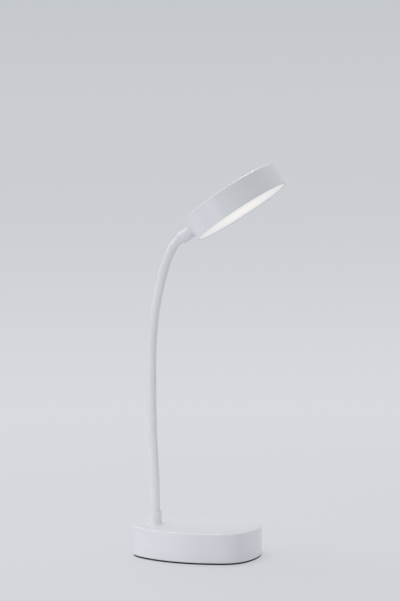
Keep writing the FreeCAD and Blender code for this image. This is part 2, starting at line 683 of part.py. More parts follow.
def head_collar():
    """Collar between the hose and the drum, its end cut to the drum's round wall."""
    ring = collar(HEAD_COLLAR_LENGTH)
    seat = V(-HEAD_RADIUS, 0, HEAD_MID)
    ring = placed(ring, seat, V(-1, 0, 0))
    skirt = Part.makeCylinder(COLLAR_RADIUS, 2 * LAP, seat, V(1, 0, 0))
    skirt = skirt.cut(Part.makeCylinder(FLANGE_RADIUS + SLIP_GAP, 2 * LAP, seat, V(1, 0, 0)))
    ring = ring.fuse(skirt).cut(cylinder(HEAD_RADIUS + COLLAR_SEAT_GAP, 0, HEAD_THICKNESS))
    return ring.removeSplitter()


def head_fitting():
    return placed(fitting(HEAD_SHANK_LENGTH), V(-HEAD_RADIUS, 0, HEAD_MID), V(-1, 0, 0))


def head_nut():
    face = HEAD_PAD_LENGTH + HEAD_WALL - HEAD_RADIUS
    return placed(hex_nut(HEAD_NUT_FLATS, HEAD_NUT_THICKNESS, SHANK_RADIUS),
                  V(face + HEAD_NUT_THICKNESS, 0, HEAD_MID), V(-1, 0, 0))


def heat_plate():
    bottom = LED_PLANE + LED_BOARD_THICKNESS
    plate = cylinder(HEAT_PLATE_RADIUS, bottom, bottom + HEAT_PLATE_THICKNESS)
    for x, y in head_screw_places():
        hole = cylinder(SCREW_SHANK_RADIUS + SCREW_GAP, bottom, bottom + HEAT_PLATE_THICKNESS, x, y)
        plate = plate.cut(hole)
    return neck_clearance(plate)


def led_board():
    board = cylinder(LED_BOARD_RADIUS, LED_PLANE, LED_PLANE + LED_BOARD_THICKNESS)
    for x, y in head_screw_places():
        hole = cylinder(SCREW_SHANK_RADIUS + SCREW_GAP, LED_PLANE, LED_PLANE + LED_BOARD_THICKNESS, x, y)
        board = board.cut(hole)
    return neck_clearance(board)


def neck_clearance(plate):
    """Notch that leaves room for the neck's shank and nut."""
    inner = HEAD_SHANK_LENGTH - HEAD_RADIUS + NOTCH_GAP
    half = HEAD_NUT_FLATS / math.sqrt(3) + NOTCH_GAP
    return plate.cut(block(-HEAD_RADIUS, inner, -half, half, 0, HEAD_THICKNESS))


def led_chips():
    chips = []
    for ring in range(1, CHIP_RING_COUNT + 1):
        radius = ring * CHIP_RING_SPACING
        count = ring * FIRST_RING_CHIPS
        for k in range(count):
            chip = block(radius - CHIP_WIDTH / 2, radius + CHIP_WIDTH / 2, -CHIP_LENGTH / 2, CHIP_LENGTH / 2,
                         LED_PLANE - CHIP_HEIGHT, LED_PLANE)
            chip.rotate(V(0, 0, 0), UP, 360 * (k + 0.5) / count)
            chips.append(chip)
    return Part.makeCompound(chips)


def reflector():
    """White dish that slopes from the diffuser's seat up to the LED board, notched round the neck's nut."""
    foot = DIFFUSER_RECESS + DIFFUSER_THICKNESS + DIFFUSER_GAP
    outer = HEAD_RADIUS - HEAD_WALL - REFLECTOR_GAP
    top = LED_PLANE - SLIP_GAP
    dish = turned([(outer - REFLECTOR_FOOT_WIDTH, foot), (outer, foot), (outer, foot + REFLECTOR_WALL),
                   (REFLECTOR_TOP_RADIUS + REFLECTOR_WALL, top), (REFLECTOR_TOP_RADIUS, top)])
    notch = HEAD_SHANK_LENGTH - HEAD_RADIUS + REFLECTOR_GAP
    half = HEAD_PAD_HALF_WIDTH + REFLECTOR_GAP
    return dish.cut(block(-HEAD_RADIUS, notch, -half, half, foot + REFLECTOR_WALL, HEAD_THICKNESS))


def diffuser():
    return cylinder(DIFFUSER_RADIUS, DIFFUSER_RECESS, DIFFUSER_RECESS + DIFFUSER_THICKNESS)


def head_screws():
    length = HEAD_THICKNESS - HEAD_TOP_WALL - LED_PLANE - SCREW_TIP_GAP
    return Part.makeCompound([placed(pan_screw(length), V(x, y, LED_PLANE), -UP)
                              for x, y in head_screw_places()])


# ---------------------------------------------------------------- all nodes
NODES = {
    "foot_pad": lambda: plan_slab(FOOT_INSET, 0, FOOT_THICKNESS),
    "base_housing": base_housing,
    "base_cover": base_cover,
    "counterweight": counterweight,
    "battery_holder": battery_holder,
    "battery_contacts": battery_contacts,
    "battery_cell": battery_cell,
    "control_board": control_board,
    "board_parts": board_parts,
    "usb_socket": usb_socket,
    "touch_plate": touch_plate,
    "touch_spring": touch_spring,
    "cover_screws": cover_screws,
    "weight_screws": weight_screws,
    "board_screws": board_screws,
    "stem_collar": stem_collar,
    "stem_fitting": stem_fitting,
    "stem_washer": stem_washer,
    "stem_nut": stem_nut,
    "neck_foot": neck_foot,
    "neck_tip": neck_tip,
    "head_collar": lambda: in_head(head_collar()),
    "head_fitting": lambda: in_head(head_fitting()),
    "head_nut": lambda: in_head(head_nut()),
    "head_shell": lambda: in_head(head_shell()),
    "heat_plate": lambda: in_head(heat_plate()),
    "led_board": lambda: in_head(led_board()),
    "led_chips": lambda: in_head(led_chips()),
    "reflector": lambda: in_head(reflector()),
    "diffuser": lambda: in_head(diffuser()),
    "head_screws": lambda: in_head(head_screws()),
}


def main():
    os.makedirs("parts", exist_ok=True)
    shapes = {name: make() for name, make in NODES.items()}
    for index in range(1, len(HOSE_RUNS) - 1):
        shapes["neck_link_%d" % index] = neck_link(index)
    for name, shape in shapes.items():
        shape.exportStep("parts/%s.step" % name)
        print("%-18s solids %d  volume %10.1f mm3" % (name, len(shape.Solids), shape.Volume))
    for number, (point, heading) in enumerate(JOINTS, 1):
        print("joint %d at X %.3f Z %.3f heading %.2f" % (number, point.x, point.z, heading))
    face = head_frame().Base
    print("head face centre X %.2f Z %.2f tilt %.1f" % (face.x, face.z, STATIONS[-1][1]))


main()
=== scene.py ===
# %% [markdown]
# # A gooseneck desk lamp, dressed in Blender
# The lamp has three visible parts: a low rounded base, a bendable hose and a round drum that shines
# downwards. The hard parts come ready made from CAD, so this lesson is mostly about surfaces: glossy white
# plastic, a satin sleeve whose pieces meet without a seam, and a lit diffuser. Everything is in metres, with
# +Z up and the lamp facing +X, so a new piece goes exactly where the CAD says.

# %% Load the lamp
import math
import bmesh
import bpy
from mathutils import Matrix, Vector


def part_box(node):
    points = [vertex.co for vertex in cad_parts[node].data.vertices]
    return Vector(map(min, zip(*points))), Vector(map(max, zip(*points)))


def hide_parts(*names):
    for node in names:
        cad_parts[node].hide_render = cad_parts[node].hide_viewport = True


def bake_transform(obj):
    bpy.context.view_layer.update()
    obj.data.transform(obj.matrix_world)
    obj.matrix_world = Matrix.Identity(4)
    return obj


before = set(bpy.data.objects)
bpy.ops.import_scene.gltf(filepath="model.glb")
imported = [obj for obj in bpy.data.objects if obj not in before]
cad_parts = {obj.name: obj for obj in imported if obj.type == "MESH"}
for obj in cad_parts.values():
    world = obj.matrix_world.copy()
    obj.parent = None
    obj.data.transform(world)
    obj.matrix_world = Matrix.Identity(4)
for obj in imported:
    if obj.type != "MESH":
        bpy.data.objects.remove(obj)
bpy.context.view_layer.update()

# %% [markdown]
# ## The camera
# Something this slim looks best from far away through a long lens, because its edges then stay nearly
# parallel. A camera can be aimed with a Track To constraint, or given plain angles. Angles are used here
# because they also carry the small roll that a hand-held camera leaves. The camera has to see past the
# floor's far edge, so its clip distance is large.

# %% Camera
CAMERA_PLACE = (0.7003, -2.6643, 0.4890)
CAMERA_ANGLES = (85.53, 0.558, 14.556)
LENS = 155.74
CLIP_DISTANCE = 1200.0

camera_data = bpy.data.cameras.new("camera")
camera_data.lens = LENS
camera_data.clip_end = CLIP_DISTANCE
camera = bpy.data.objects.new("camera", camera_data)
camera.location = CAMERA_PLACE
camera.rotation_euler = [math.radians(a) for a in CAMERA_ANGLES]
bpy.context.scene.collection.objects.link(camera)
bpy.context.scene.camera = camera
bpy.context.scene.view_settings.view_transform = "Standard"
print("camera %.2f m from the lamp" % Vector(CAMERA_PLACE).length)


# %% [markdown]
# ## Small helpers for node materials
# Every finish below is a node tree, and each tree repeats the same three moves: make a node, set a value on
# one of its sockets, and join two sockets. Three tiny functions keep the materials short enough to read.

# %% Node helpers
def add_node(tree, kind, **settings):
    """Makes a shader node and sets its properties."""
    node = tree.nodes.new(kind)
    for name, value in settings.items():
        setattr(node, name, value)
    return node


def set_inputs(node, **values):
    """Sets sockets by name, with an underscore standing for a space."""
    for name, value in values.items():
        node.inputs[name.replace("_", " ")].default_value = value
    return node


def start_material(name):
    """New material with an empty tree, its Principled shader and its output."""
    material = bpy.data.materials.new(name)
    material.use_nodes = True
    tree = material.node_tree
    tree.nodes.clear()
    shader = add_node(tree, "ShaderNodeBsdfPrincipled")
    output = add_node(tree, "ShaderNodeOutputMaterial")
    tree.links.new(shader.outputs["BSDF"], output.inputs["Surface"])
    return material, tree, shader


def start_group(name, inputs, outputs):
    """New node group with named float inputs and named outputs of a given socket type."""
    group = bpy.data.node_groups.new(name, "ShaderNodeTree")
    for label, value in inputs:
        socket = group.interface.new_socket(label, in_out="INPUT", socket_type="NodeSocketFloat")
        socket.default_value = value
    for label, kind in outputs:
        group.interface.new_socket(label, in_out="OUTPUT", socket_type=kind)
    return group, add_node(group, "NodeGroupInput"), add_node(group, "NodeGroupOutput")


def place_group(tree, group, **values):
    """Puts a node group into a material with its own values."""
    return set_inputs(add_node(tree, "ShaderNodeGroup", node_tree=group), **values)


print("helpers ready")

# %% [markdown]
# ## What moulded plastic does to light
# A glossy moulding isn't a perfect mirror. The steel tool leaves a very shallow unevenness a few centimetres
# across, which makes reflections swim a little, and handling leaves faint marks that change the roughness
# from place to place. Both could be painted as textures. Noise nodes do it without any picture, at any
# distance, so one group gives both effects to every moulded part.

# %% Moulded surface group
WAVE_HEIGHT = 0.0004
GRAIN_HEIGHT = 0.0001
MARKS_FROM = 0.35
MARKS_TO = 0.7

moulded, taking, giving = start_group(
    "moulded_surface",
    [("Wave Size", 60.0), ("Wave Depth", 0.02), ("Grain Size", 3500.0), ("Grain Depth", 0.01),
     ("Roughness", 0.2), ("Handling", 0.05)],
    [("Normal", "NodeSocketVector"), ("Roughness", "NodeSocketFloat"), ("Tone", "NodeSocketFloat")])
place = add_node(moulded, "ShaderNodeTexCoord")
wave = add_node(moulded, "ShaderNodeTexNoise")
grain = add_node(moulded, "ShaderNodeTexNoise")
marks = add_node(moulded, "ShaderNodeTexNoise")
set_inputs(marks, Scale=24.0, Detail=4.0)
set_inputs(wave, Detail=1.0)
wave_bump = set_inputs(add_node(moulded, "ShaderNodeBump"), Distance=WAVE_HEIGHT)
grain_bump = set_inputs(add_node(moulded, "ShaderNodeBump"), Distance=GRAIN_HEIGHT)
spread = set_inputs(add_node(moulded, "ShaderNodeMapRange"), From_Min=MARKS_FROM, From_Max=MARKS_TO)
rough = add_node(moulded, "ShaderNodeMath", operation="MULTIPLY_ADD")
for source, target in (
        (place.outputs["Object"], wave.inputs["Vector"]),
        (place.outputs["Object"], grain.inputs["Vector"]),
        (place.outputs["Object"], marks.inputs["Vector"]),
        (taking.outputs["Wave Size"], wave.inputs["Scale"]),
        (taking.outputs["Grain Size"], grain.inputs["Scale"]),
        (taking.outputs["Wave Depth"], wave_bump.inputs["Strength"]),
        (taking.outputs["Grain Depth"], grain_bump.inputs["Strength"]),
        (wave.outputs["Fac"], wave_bump.inputs["Height"]),
        (grain.outputs["Fac"], grain_bump.inputs["Height"]),
        (wave_bump.outputs["Normal"], grain_bump.inputs["Normal"]),
        (grain_bump.outputs["Normal"], giving.inputs["Normal"]),
        (marks.outputs["Fac"], spread.inputs["Value"]),
        (spread.outputs["Result"], rough.inputs[0]),
        (taking.outputs["Handling"], rough.inputs[1]),
        (taking.outputs["Roughness"], rough.inputs[2]),
        (rough.outputs["Value"], giving.inputs["Roughness"]),
        (spread.outputs["Result"], giving.inputs["Tone"])):
    moulded.links.new(source, target)
print("moulded surface group:", len(moulded.nodes), "nodes")


# %% Moulded plastics
def mould_plastic(name, light, dark, roughness, wave_depth=0.02, grain_depth=0.01, coat=0.0):
    """Plastic whose colour drifts between two close tones."""
    material, tree, shader = start_material(name)
    skin = place_group(tree, moulded, Wave_Depth=wave_depth, Grain_Depth=grain_depth,
                       Roughness=roughness)
    tone = add_node(tree, "ShaderNodeMix", data_type="RGBA")
    tone.inputs["A"].default_value = (*light, 1.0)
    tone.inputs["B"].default_value = (*dark, 1.0)
    tree.links.new(skin.outputs["Tone"], tone.inputs["Factor"])
    tree.links.new(tone.outputs["Result"], shader.inputs["Base Color"])
    tree.links.new(skin.outputs["Roughness"], shader.inputs["Roughness"])
    tree.links.new(skin.outputs["Normal"], shader.inputs["Normal"])
    set_inputs(shader, Coat_Weight=coat, Coat_Roughness=0.06)
    return material


gloss_white = mould_plastic("gloss_white", (0.73, 0.735, 0.765), (0.71, 0.715, 0.745), 0.16)
collar_white = mould_plastic("collar_white", (0.73, 0.735, 0.765), (0.71, 0.715, 0.745), 0.2)
inner_white = mould_plastic("inner_white", (0.66, 0.66, 0.65), (0.62, 0.62, 0.61), 0.5, grain_depth=0.2)
reflector_white = mould_plastic("reflector_white", (0.86, 0.86, 0.86), (0.84, 0.84, 0.84), 0.6)
epoxy_black = mould_plastic("epoxy_black", (0.015, 0.015, 0.016), (0.03, 0.03, 0.03), 0.45, grain_depth=0.3)
print("plastics ready")

# %% [markdown]
# ## The sleeve of the hose
# A gooseneck's coils are hidden in a soft white sleeve. The sleeve is rubbery, so it is less shiny than the
# moulded parts. Its roughness is higher than the base's, and it has a fine grain and no long waves. That
# alone reads as another material.

# %% Sleeve material
sleeve_white = mould_plastic("sleeve_white", (0.735, 0.74, 0.75), (0.715, 0.72, 0.73), 0.42, wave_depth=0.0,
                             grain_depth=0.03)
print("sleeve ready")

# %% [markdown]
# ## The black foot
# The rubber pad under the base shows as a thin black line that lets the base float a little above the desk.
# Its near-black colour is partly the rubber's own and partly painted shade, standing in for the dark shadow
# gap under the base. Rubber is dark but never pure black: a high roughness and a little grain keep its edge
# soft.

# %% Foot rubber with painted gap shade
# Near-black tone: black rubber plus painted shade for the shadow gap under the base.
foot_rubber = mould_plastic("foot_rubber", (0.012, 0.012, 0.012), (0.022, 0.022, 0.022), 0.75,
                            grain_depth=0.5)
print("rubber ready")


# %% [markdown]
# ## Metals inside
# The hidden metal parts matter when somebody takes the lamp apart. Turned and rolled metal has fine lines
# along the tool's path, made here by a noise that is stretched along one direction. The same group serves
# steel, brass and aluminium, with other colours.

# %% Drawn metal group
LINE_HEIGHT = 0.0001
LINE_STRETCH = (0.05, 1.0, 1.0)
ROUGHNESS_SPREAD = 0.15

lines, taking, giving = start_group(
    "tool_lines", [("Line Size", 900.0), ("Depth", 0.2), ("Roughness", 0.3)],
    [("Normal", "NodeSocketVector"), ("Roughness", "NodeSocketFloat")])
place = add_node(lines, "ShaderNodeTexCoord")
stretch = add_node(lines, "ShaderNodeMapping")
stretch.inputs["Scale"].default_value = LINE_STRETCH
scratch = set_inputs(add_node(lines, "ShaderNodeTexNoise"), Detail=3.0)
bump = set_inputs(add_node(lines, "ShaderNodeBump"), Distance=LINE_HEIGHT)
rough = add_node(lines, "ShaderNodeMath", operation="MULTIPLY_ADD")
rough.inputs[1].default_value = ROUGHNESS_SPREAD
for source, target in (
        (place.outputs["Object"], stretch.inputs["Vector"]),
        (stretch.outputs["Vector"], scratch.inputs["Vector"]),
        (taking.outputs["Line Size"], scratch.inputs["Scale"]),
        (scratch.outputs["Fac"], bump.inputs["Height"]),
        (taking.outputs["Depth"], bump.inputs["Strength"]),
        (bump.outputs["Normal"], giving.inputs["Normal"]),
        (scratch.outputs["Fac"], rough.inputs[0]),
        (taking.outputs["Roughness"], rough.inputs[2]),
        (rough.outputs["Value"], giving.inputs["Roughness"])):
    lines.links.new(source, target)


def draw_metal(name, colour, roughness, depth=0.2):
    """Metal with fine tool lines."""
    material, tree, shader = start_material(name)
    skin = place_group(tree, lines, Roughness=roughness, Depth=depth)
    set_inputs(shader, Base_Color=(*colour, 1.0), Metallic=1.0)
    tree.links.new(skin.outputs["Roughness"], shader.inputs["Roughness"])
    tree.links.new(skin.outputs["Normal"], shader.inputs["Normal"])
    return material


zinc_steel = draw_metal("zinc_steel", (0.56, 0.57, 0.58), 0.3)
screw_steel = draw_metal("screw_steel", (0.5, 0.5, 0.52), 0.22, 0.1)
turned_brass = draw_metal("turned_brass", (0.72, 0.55, 0.27), 0.2)
spring_copper = draw_metal("spring_copper", (0.75, 0.46, 0.3), 0.25)
sheet_aluminium = draw_metal("sheet_aluminium", (0.74, 0.75, 0.76), 0.28)
print("metals ready")


# %% [markdown]
# ## Circuit boards
# A board is copper under a coat of solder mask, so its tracks show as slightly lighter lines with square
# corners. A brick texture gives the grid of tracks, and the small steps in height come from the same mask.

# %% Board materials
def print_board(name, mask_colour, track_colour, roughness):
    """Circuit board with faint tracks under its solder mask."""
    material, tree, shader = start_material(name)
    place = add_node(tree, "ShaderNodeTexCoord")
    tracks = add_node(tree, "ShaderNodeTexBrick", offset=0.37)
    set_inputs(tracks, Color1=(0, 0, 0, 1), Color2=(0, 0, 0, 1), Mortar=(1, 1, 1, 1), Scale=260.0,
               Mortar_Size=0.06, Brick_Width=1.3, Row_Height=0.45)
    tone = add_node(tree, "ShaderNodeMix", data_type="RGBA")
    tone.inputs["A"].default_value = (*mask_colour, 1.0)
    tone.inputs["B"].default_value = (*track_colour, 1.0)
    relief = set_inputs(add_node(tree, "ShaderNodeBump"), Strength=0.3, Distance=0.0001)
    tree.links.new(place.outputs["Object"], tracks.inputs["Vector"])
    tree.links.new(tracks.outputs["Color"], tone.inputs["Factor"])
    tree.links.new(tone.outputs["Result"], shader.inputs["Base Color"])
    tree.links.new(tracks.outputs["Color"], relief.inputs["Height"])
    tree.links.new(relief.outputs["Normal"], shader.inputs["Normal"])
    set_inputs(shader, Roughness=roughness)
    return material


green_board = print_board("green_board", (0.01, 0.12, 0.04), (0.02, 0.2, 0.07), 0.3)
white_board = print_board("white_board", (0.78, 0.78, 0.76), (0.86, 0.86, 0.84), 0.4)
print("boards ready")


# %% [markdown]
# ## Battery sleeve and LED gel
# The cell wears a shrunk-on plastic film. It is glossy, with lengthwise ripples where it shrank. The LEDs are
# capped with a drop of yellow gel full of fine powder. One is plastic with a stronger wave, the other needs
# a speckle in its colour and a trace of its own light.

# %% Small finishes
cell_film = mould_plastic("cell_film", (0.05, 0.2, 0.42), (0.04, 0.17, 0.37), 0.25, wave_depth=0.3)

led_gel, tree, shader = start_material("led_gel")
place = add_node(tree, "ShaderNodeTexCoord")
powder = set_inputs(add_node(tree, "ShaderNodeTexNoise"), Scale=2500.0)
tone = add_node(tree, "ShaderNodeMix", data_type="RGBA")
tone.inputs["A"].default_value = (0.9, 0.62, 0.12, 1.0)
tone.inputs["B"].default_value = (0.95, 0.78, 0.3, 1.0)
tree.links.new(place.outputs["Object"], powder.inputs["Vector"])
tree.links.new(powder.outputs["Fac"], tone.inputs["Factor"])
tree.links.new(tone.outputs["Result"], shader.inputs["Base Color"])
tree.links.new(tone.outputs["Result"], shader.inputs["Emission Color"])
set_inputs(shader, Roughness=0.3, Emission_Strength=0.6)
# The drops sit behind the diffuser and light nothing outside, so no light rays are aimed at them.
led_gel.cycles.emission_sampling = "NONE"
print("small finishes ready")

# %% [markdown]
# ## The lit diffuser
# Opal acrylic spreads the light of two rings of LEDs over the whole disc. A lamp could be put behind a real
# translucent disc, but that renders slowly and grainily. The disc glows by itself instead: it is warmest and
# brightest in the middle and falls off towards the rim. The distance from the disc's centre is measured in
# its own object coordinates, which stay with it when the head moves.

# %% Diffuser material
GLOW_REACH = 0.053
CENTRE_GLOW = (0.80, 0.765, 0.735, 1.0)
MIDWAY_GLOW = (0.66, 0.645, 0.63, 1.0)
RIM_GLOW = (0.58, 0.575, 0.57, 1.0)
MIDWAY = 0.6

opal, tree, shader = start_material("opal_diffuser")
head_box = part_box("diffuser")
head_middle = [(a + b) / 2 for a, b in zip(*head_box)]
place = add_node(tree, "ShaderNodeTexCoord")
centred = add_node(tree, "ShaderNodeVectorMath", operation="SUBTRACT")
centred.inputs[1].default_value = head_middle
reach = add_node(tree, "ShaderNodeVectorMath", operation="LENGTH")
glow = add_node(tree, "ShaderNodeValToRGB")
glow.color_ramp.interpolation = "B_SPLINE"
glow.color_ramp.elements[0].position = 0.0
glow.color_ramp.elements[0].color = CENTRE_GLOW
glow.color_ramp.elements[1].position = 1.0
glow.color_ramp.elements[1].color = RIM_GLOW
middle_stop = glow.color_ramp.elements.new(MIDWAY)
middle_stop.color = MIDWAY_GLOW
scale_down = add_node(tree, "ShaderNodeMath", operation="MULTIPLY")
scale_down.inputs[1].default_value = 1 / GLOW_REACH
for source, target in (
        (place.outputs["Object"], centred.inputs[0]),
        (centred.outputs["Vector"], reach.inputs[0]),
        (reach.outputs["Value"], scale_down.inputs[0]),
        (scale_down.outputs["Value"], glow.inputs["Fac"]),
        (glow.outputs["Color"], shader.inputs["Emission Color"])):
    tree.links.new(source, target)
set_inputs(shader, Base_Color=(0.12, 0.12, 0.12, 1.0), Roughness=0.35, Emission_Strength=0.9)
print("diffuser ready")

# %% [markdown]
# ## Dress the CAD nodes
# A CAD node whose shape is right keeps its mesh, and only gets a better material. Emptying the object's
# material slots and adding the new finish is enough. The table below reads as a shopping list of the lamp.

# %% Materials for the nodes
FINISHES = {
    gloss_white: ("base_housing", "head_shell"),
    collar_white: ("stem_collar", "head_collar"),
    inner_white: ("base_cover", "battery_holder"),
    foot_rubber: ("foot_pad",),
    zinc_steel: ("counterweight", "battery_contacts", "usb_socket", "stem_washer"),
    screw_steel: ("cover_screws", "weight_screws", "board_screws", "head_screws"),
    turned_brass: ("stem_fitting", "stem_nut", "head_fitting", "head_nut"),
    spring_copper: ("touch_plate", "touch_spring"),
    sheet_aluminium: ("heat_plate",),
    green_board: ("control_board",),
    epoxy_black: ("board_parts",),
    cell_film: ("battery_cell",),
    white_board: ("led_board",),
    led_gel: ("led_chips",),
    reflector_white: ("reflector",),
    opal: ("diffuser",),
    sleeve_white: ("neck_foot", "neck_tip") + tuple("neck_link_%d" % n for n in range(1, 9)),
}
for finish, names in FINISHES.items():
    for name in names:
        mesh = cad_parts[name].data
        mesh.materials.clear()
        mesh.materials.append(finish)
print("dressed", sum(len(names) for names in FINISHES.values()), "nodes")

# %% [markdown]
# ## The path of the hose
# The hose is described as ten short runs. Each run has a length, and bends evenly by a few degrees, so it is
# an arc of a circle. Nine ball joints sit where the runs meet. The same ten lengths and ten bends that shape
# the CAD links are repeated here, in metres, and a small function walks along them.

# %% Hose path
HOSE_RADIUS = 0.00485
HOSE_START = Vector((-0.0453, 0.0, 0.0474))
HOSE_RUNS = (0.013, 0.038, 0.038, 0.038, 0.038, 0.036, 0.032, 0.028, 0.0248, 0.0136)
HOSE_TURNS = (0.0, 2.7, -1.3, -1.6, -0.9, -5.5, -5.9, -3.9, -12.4, -28.0)
UPRIGHT = 90.0
LEAST_TURN = 1e-6


def heading(degrees):
    """Direction in the XZ plane, in degrees above +X."""
    return Vector((math.cos(math.radians(degrees)), 0.0, math.sin(math.radians(degrees))))


def along(start, degrees, length, turn, share):
    """Point and heading after a share of one evenly bent run."""
    bent = turn * share
    if abs(bent) < LEAST_TURN:
        return start + heading(degrees) * length * share, degrees
    radius = length / math.radians(turn)
    return start + (heading(degrees + 90) - heading(degrees + bent + 90)) * radius, degrees + bent


run_starts = [(HOSE_START, UPRIGHT)]
for length, turn in zip(HOSE_RUNS, HOSE_TURNS):
    run_starts.append(along(*run_starts[-1], length, turn, 1.0))
print("hose ends at", [round(v, 4) for v in run_starts[-1][0]], "heading %.1f" % run_starts[-1][1])

# %% [markdown]
# ## The sleeve in pieces
# One long sleeve can't follow nine joints, because a piece may blend between two bodies only. So the sleeve
# is cut in the middle of each link, where the hose is stiff and a cut never opens. Each piece then crosses
# exactly one joint. It is a tube swept along the path: a ring of points is turned to face along the hose and
# joined to the last ring. The rings of two neighbours meet on the same points, so no seam shows. How far
# before and after its joint a piece would bend is worked out as reach, but nothing here uses it: the pieces
# stay as swept, and the CAD nodes they stand for are hidden.

# %% Sweep the sleeve
RING_POINTS = 40
RINGS_PER_HALF = 14
COLLAR_DEPTH = 0.006
BEND_SHARE = 0.9


def add_ring(mesh, centre, degrees):
    """One ring of points round the hose."""
    out = heading(degrees - 90)
    side = Vector((0.0, 1.0, 0.0))
    ring = []
    for step in range(RING_POINTS):
        angle = 2 * math.pi * step / RING_POINTS
        offset = out * math.cos(angle) + side * math.sin(angle)
        ring.append(mesh.verts.new(centre + offset * HOSE_RADIUS))
    return ring


def sleeve_piece(name, stations):
    """Tube through a list of stations, closed at both ends."""
    mesh = bmesh.new()
    rings = [add_ring(mesh, centre, degrees) for centre, degrees in stations]
    for low, high in zip(rings, rings[1:]):
        for step in range(RING_POINTS):
            turn = (step + 1) % RING_POINTS
            mesh.faces.new((low[step], low[turn], high[turn], high[step]))
    for cap in (mesh.faces.new(reversed(rings[0])), mesh.faces.new(rings[-1])):
        for edge in cap.edges:
            edge.smooth = False
    bmesh.ops.recalc_face_normals(mesh, faces=mesh.faces)
    data = bpy.data.meshes.new(name)
    mesh.to_mesh(data)
    mesh.free()
    for face in data.polygons:
        face.use_smooth = len(face.vertices) == 4
    piece = bpy.data.objects.new(name, data)
    bpy.context.scene.collection.objects.link(piece)
    data.materials.append(sleeve_white)
    return piece


def stretch_of_run(run, start_share, end_share):
    """Stations along a part of one run."""
    start, degrees = run_starts[run]
    stretch = end_share - start_share
    shares = [start_share + stretch * k / RINGS_PER_HALF for k in range(RINGS_PER_HALF + 1)]
    return [along(start, degrees, HOSE_RUNS[run], HOSE_TURNS[run], share) for share in shares]


NODES = ["neck_foot"] + ["neck_link_%d" % n for n in range(1, 9)] + ["neck_tip"]
last = len(HOSE_RUNS) - 1
for joint in range(1, last + 1):
    share_below = 1.0 if joint == 1 else 0.5
    share_above = 1.0 if joint == last else 0.5
    below = stretch_of_run(joint - 1, 1.0 - share_below, 1.0)
    above = stretch_of_run(joint, 0.0, share_above)
    stations = below + above[1:]
    if joint == 1:
        stations.insert(0, (HOSE_START - heading(UPRIGHT) * COLLAR_DEPTH, UPRIGHT))
    if joint == last:
        end, degrees = run_starts[-1]
        stations.append((end + heading(degrees) * COLLAR_DEPTH, degrees))
    piece = sleeve_piece("sleeve_%d" % joint, stations)
    reach = BEND_SHARE * min(HOSE_RUNS[joint - 1] * share_below, HOSE_RUNS[joint] * share_above)
    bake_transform(piece)
    replaced = [NODES[joint - 1]] + ([NODES[joint]] if joint == last else [])
    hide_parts(*replaced)
print("sleeve in", last, "pieces")

# %% [markdown]
# ## Floor
# The floor has two jobs that pull apart. It should catch the lamp's soft shadow, and it should fade into the
# background so that no horizon shows from any side. A big curved backdrop hides the horizon from one side
# only. Here the floor is a large plane whose material knows the distance from the lamp. Close by, a good part
# of what the camera sees is ordinary lit paper, which keeps the shadow. Further out the paper gives way to a
# plain tone that runs smoothly into the tone of the world. Light Path tells the two apart: rays that light
# the lamp always meet plain paper.

# %% Floor plane
FLOOR_REACH = 400.0
BLACK = (0.0, 0.0, 0.0, 1.0)
PAPER = (0.60, 0.622, 0.650, 1.0)
NEAR_TONE = (0.699, 0.720, 0.752, 1.0)
FAR_TONE = (0.589, 0.608, 0.640, 1.0)
HALF_WAY = 3.2
SHADOW_SHARE = 0.42
SHADOW_NEAR = 0.35
SHADOW_FAR = 1.4

mesh = bmesh.new()
signs = ((-1, -1), (1, -1), (1, 1), (-1, 1))
mesh.faces.new([mesh.verts.new((x * FLOOR_REACH, y * FLOOR_REACH, 0.0)) for x, y in signs])
floor_mesh = bpy.data.meshes.new("floor")
mesh.to_mesh(floor_mesh)
mesh.free()
floor = bpy.data.objects.new("floor", floor_mesh)
bpy.context.scene.collection.objects.link(floor)
print("floor laid, %.0f m across" % (2 * FLOOR_REACH))


# %% Floor material
def seen_ray(tree):
    """1 for rays that show a surface to the camera, directly or through gloss and glass."""
    ray = add_node(tree, "ShaderNodeLightPath")
    first = add_node(tree, "ShaderNodeMath", operation="MAXIMUM")
    both = add_node(tree, "ShaderNodeMath", operation="MAXIMUM")
    tree.links.new(ray.outputs["Is Camera Ray"], first.inputs[0])
    tree.links.new(ray.outputs["Is Glossy Ray"], first.inputs[1])
    tree.links.new(first.outputs["Value"], both.inputs[0])
    tree.links.new(ray.outputs["Is Transmission Ray"], both.inputs[1])
    return both.outputs["Value"]


floor_finish, tree, shader = start_material("floor_paper")
place = add_node(tree, "ShaderNodeTexCoord")
reach = add_node(tree, "ShaderNodeVectorMath", operation="LENGTH")
tree.links.new(place.outputs["Object"], reach.inputs[0])

squared = add_node(tree, "ShaderNodeMath", operation="MULTIPLY")
beyond = add_node(tree, "ShaderNodeMath", operation="ADD")
beyond.inputs[1].default_value = HALF_WAY ** 2
share = add_node(tree, "ShaderNodeMath", operation="DIVIDE")
tree.links.new(reach.outputs["Value"], squared.inputs[0])
tree.links.new(reach.outputs["Value"], squared.inputs[1])
tree.links.new(squared.outputs["Value"], beyond.inputs[0])
tree.links.new(squared.outputs["Value"], share.inputs[0])
tree.links.new(beyond.outputs["Value"], share.inputs[1])
tone = add_node(tree, "ShaderNodeMix", data_type="RGBA")
tone.inputs["A"].default_value = NEAR_TONE
tone.inputs["B"].default_value = FAR_TONE
tree.links.new(share.outputs["Value"], tone.inputs["Factor"])

fade = set_inputs(add_node(tree, "ShaderNodeMapRange", interpolation_type="SMOOTHSTEP"),
                  From_Min=SHADOW_NEAR, From_Max=SHADOW_FAR, To_Min=1.0 - SHADOW_SHARE, To_Max=1.0)
plain = add_node(tree, "ShaderNodeMath", operation="MULTIPLY")
tree.links.new(reach.outputs["Value"], fade.inputs["Value"])
tree.links.new(fade.outputs["Result"], plain.inputs[0])
tree.links.new(seen_ray(tree), plain.inputs[1])

